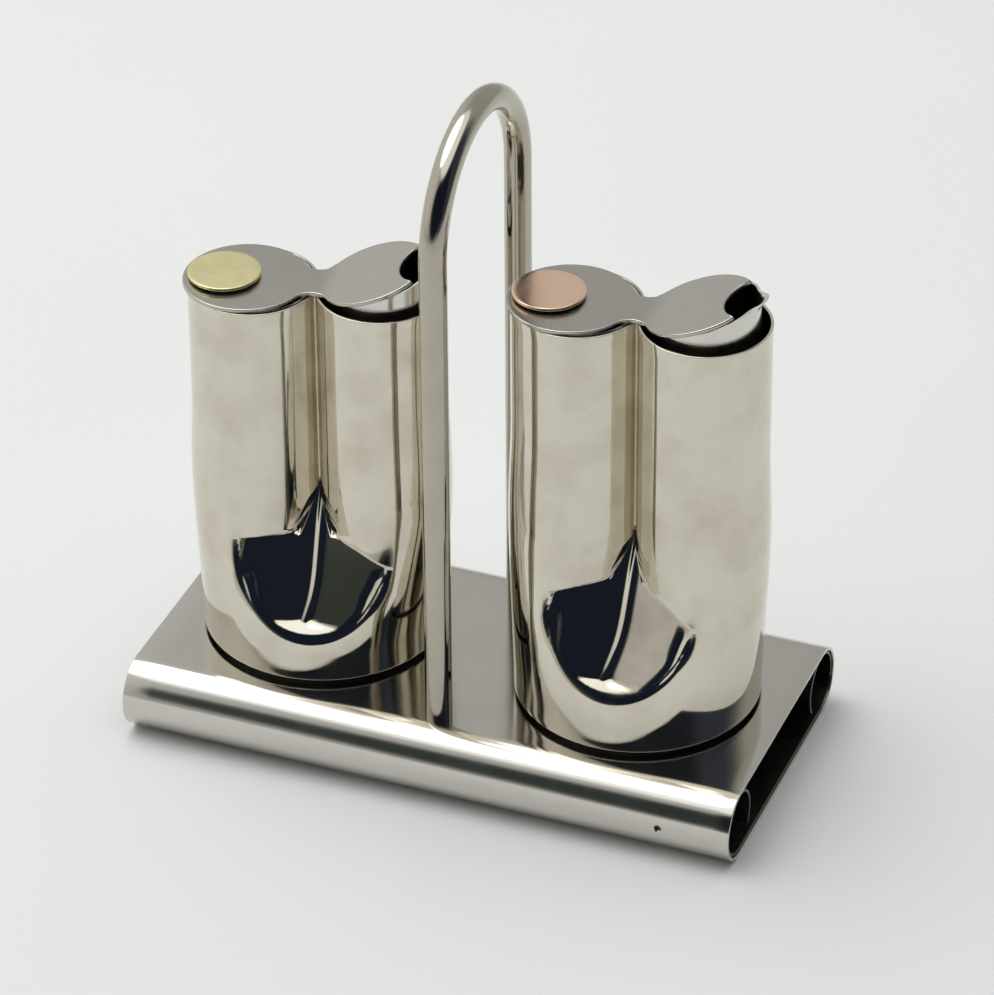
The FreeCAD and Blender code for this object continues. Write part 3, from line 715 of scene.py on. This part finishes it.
def makeDisc(side, cruet):
    # A flat disc whose edges are quarter circles: radius - edge + edge * sine across and
    # edge * cosine up
    d = disc
    low = cruet["height"] + lid["thickness"] + d["lift"]
    high = low + d["thickness"]
    turn = np.linspace(0.0, math.pi / 2.0, 6)
    e, r = d["edge"], d["radius"]
    flatRings = np.linspace(0.0, r - e, 8)[:-1]
    top = np.stack([flatRings, np.full(len(flatRings), high)], -1)
    topEdge = np.stack([r - e + e * np.sin(turn), high - e + e * np.cos(turn)], -1)
    lowEdge = np.stack([r - e + e * np.cos(turn), low + e - e * np.sin(turn)], -1)
    under = np.stack([flatRings[::-1], np.full(len(flatRings), low)], -1)
    profile = np.concatenate([top, topEdge, lowEdge, under])
    grid = stand(turned(profile, d["around"], d["at"]), cruet)
    makePiece(side + "MarkerDisc", grid, False, side + "_lid",
        [side + "_" + cruet["disc"]], cruet["metal"])


for side, cruet in cruets.items():
    makeBody(side, cruet)
    makeBottom(side, cruet)
    makePlate(side, cruet)
    makeSleeve(side, cruet)
    makeDisc(side, cruet)
    print(side, "cruet made")


# Finishes of the solids that stay as they are

# The drawer's tray and walls take the tray's painted shade, near-black steel for the dark hollow inside the
# sleeve
keptFinish = {"drawer_tray": "paintedShadeTraySteel", "drawer_front_wall": "paintedShadeTraySteel", "drawer_back_wall": "paintedShadeTraySteel",
    "front_leg_plug": "handleSteel", "rear_leg_plug": "handleSteel",
    "left_lid_collar": "spoutSteel", "right_lid_collar": "spoutSteel", "left_disc_stem": "spoutSteel",
    "right_disc_stem": "spoutSteel"}
for node, finish in keptFinish.items():
    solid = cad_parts[node]
    solid.data.materials.clear()
    solid.data.materials.append(metals[finish])


# Floor, light and camera

studio = {"floorSize": 6.0, "floorColour": (0.80, 0.81, 0.805), "shade": 0.97, "patchScale": 5.0,
    "roughness": 0.9}


def makeFloor():
    # A large matt square whose colour varies a little in soft patches
    half = studio["floorSize"] / 2.0
    spots = [(-half, -half, 0), (half, -half, 0), (half, half, 0), (-half, half, 0)]
    mesh = bpy.data.meshes.new("paleFloor")
    mesh.from_pydata(spots, [], [(0, 1, 2, 3)])
    floor = bpy.data.objects.new("paleFloor", mesh)
    bpy.context.collection.objects.link(floor)
    material = bpy.data.materials.new("paleFloor")
    material.use_nodes = True
    nodes, links = material.node_tree.nodes, material.node_tree.links
    shader = nodes["Principled BSDF"]
    shader.inputs["Roughness"].default_value = studio["roughness"]
    shader.inputs["Specular IOR Level"].default_value = 0.0
    where = nodes.new("ShaderNodeTexCoord").outputs["Object"]
    patch = noise(nodes, links, where, studio["patchScale"], 2.0, 0.5)
    blend = nodes.new("ShaderNodeMix")
    blend.data_type = "RGBA"
    shaded = [v * studio["shade"] for v in studio["floorColour"]]
    blend.inputs[firstColour].default_value = (*studio["floorColour"], 1.0)
    blend.inputs[secondColour].default_value = (*shaded, 1.0)
    links.new(patch, blend.inputs["Factor"])
    links.new(blend.outputs[mixedColour], shader.inputs["Base Color"])
    mesh.materials.append(material)


def directionOf(azimuth, height):
    # The unit vector (sine of azimuth * cosine of height, -cosine of azimuth * cosine of
    # height, sine of height). Azimuth 0 is the front of the set and 90 degrees its right
    level = math.cos(height)
    return (math.sin(azimuth) * level, -math.cos(azimuth) * level, math.sin(height))


def makeWorld():
    # The room as the metal sees it: soft round patches laid one over another on a plain
    # grey. A patch shows where the view direction times its own lies above the cosine of
    # its size, and fades from size - soft to size + soft
    world = bpy.data.worlds.new("room")
    bpy.context.scene.world = world
    world.use_nodes = True
    nodes, links = world.node_tree.nodes, world.node_tree.links
    nodes.clear()
    towards = nodes.new("ShaderNodeTexCoord").outputs["Generated"]
    colour = None
    for patch in roomPatches:
        azimuth, height = (math.radians(v) for v in patch["at"])
        direction = directionOf(azimuth, height)
        dot = nodes.new("ShaderNodeVectorMath")
        dot.operation = "DOT_PRODUCT"
        links.new(towards, dot.inputs[0])
        dot.inputs[1].default_value = direction
        shape = nodes.new("ShaderNodeMapRange")
        shape.interpolation_type = "SMOOTHSTEP"
        links.new(dot.outputs["Value"], shape.inputs["Value"])
        size, soft = patch["size"], patch["soft"]
        shape.inputs["From Min"].default_value = math.cos(math.radians(size + soft))
        shape.inputs["From Max"].default_value = math.cos(math.radians(max(size - soft, 0.0)))
        mix = nodes.new("ShaderNodeMix")
        mix.data_type = "RGBA"
        if colour is None:
            mix.inputs[firstColour].default_value = (*roomGrey, 1.0)
        else:
            links.new(colour, mix.inputs[firstColour])
        mix.inputs[secondColour].default_value = (*patch["colour"], 1.0)
        links.new(shape.outputs["Result"], mix.inputs["Factor"])
        colour = mix.outputs[mixedColour]
    background = nodes.new("ShaderNodeBackground")
    links.new(colour, background.inputs["Color"])
    background.inputs["Strength"].default_value = 1.0
    output = nodes.new("ShaderNodeOutputWorld")
    links.new(background.outputs["Background"], output.inputs["Surface"])


# Each patch lies at an azimuth and a height, its size and softness are in degrees too, and
# the last one lies on top
roomGrey = (0.46, 0.455, 0.44)
roomPatches = [
    {"at": (200.0, 30.0), "size": 60.0, "soft": 30.0, "colour": (0.48, 0.48, 0.46)},
    {"at": (-90.0, 20.0), "size": 45.0, "soft": 25.0, "colour": (0.85, 0.85, 0.83)},
    {"at": (85.0, 25.0), "size": 35.0, "soft": 15.0, "colour": (0.05, 0.06, 0.09)},
    {"at": (1.0, 25.0), "size": 26.0, "soft": 4.0, "colour": (0.04, 0.05, 0.045)},
    {"at": (18.0, 27.0), "size": 28.0, "soft": 4.0, "colour": (0.010, 0.014, 0.028)},
    {"at": (44.0, 27.0), "size": 28.0, "soft": 8.0, "colour": (0.012, 0.016, 0.028)},
    {"at": (0.0, 90.0), "size": 35.0, "soft": 5.0, "colour": (1.35, 1.35, 1.33)},
]


lampLook = {"size": 1.6, "power": 12.6, "at": (-0.7, 0.1, 1.7), "aim": (0, 0, 0.08)}


def makeLamp():
    # One wide soft lamp above and to the left, turned to face its aim
    data = bpy.data.lights.new("overhead", "AREA")
    data.shape = "DISK"
    data.size = lampLook["size"]
    data.energy = lampLook["power"]
    lamp = bpy.data.objects.new("overhead", data)
    bpy.context.collection.objects.link(lamp)
    lamp.location = lampLook["at"]
    lamp.rotation_euler = (Vector(lampLook["aim"]) - lamp.location).to_track_quat("-Z", "Y").to_euler()


camera = {"azimuth": 21.67, "elevation": 33.61, "roll": -0.41, "distance": 1587.61,
    "target": (5.77, 0.0, 79.53), "focal": 5466.56, "frameWidth": 994.0, "sensor": 36.0, "clipEnd": 20.0}


def makeCamera():
    # Stands at target + distance * direction and looks back, rolled about its view. Focal
    # length over the picture's width, both in pixels, times the sensor gives the lens
    data = bpy.data.cameras.new("camera")
    data.sensor_width = camera["sensor"]
    data.sensor_fit = "HORIZONTAL"
    data.lens = camera["focal"] / camera["frameWidth"] * camera["sensor"]
    data.clip_end = camera["clipEnd"]
    eye = bpy.data.objects.new("camera", data)
    bpy.context.collection.objects.link(eye)
    azimuth, height, roll = (math.radians(camera[k]) for k in ("azimuth", "elevation", "roll"))
    back = Vector(directionOf(azimuth, height))
    right = (-back).cross(Vector((0, 0, 1))).normalized()
    up = right.cross(-back)
    rolledRight = math.cos(roll) * right + math.sin(roll) * up
    rolledUp = -math.sin(roll) * right + math.cos(roll) * up
    eye.matrix_world = Matrix((rolledRight, rolledUp, back)).transposed().to_4x4()
    eye.location = (Vector(camera["target"]) + back * camera["distance"]) * mm
    bpy.context.scene.camera = eye


makeFloor()
makeWorld()
makeLamp()
makeCamera()
bpy.context.scene.view_settings.view_transform = "Standard"
print("floor, light and camera made")
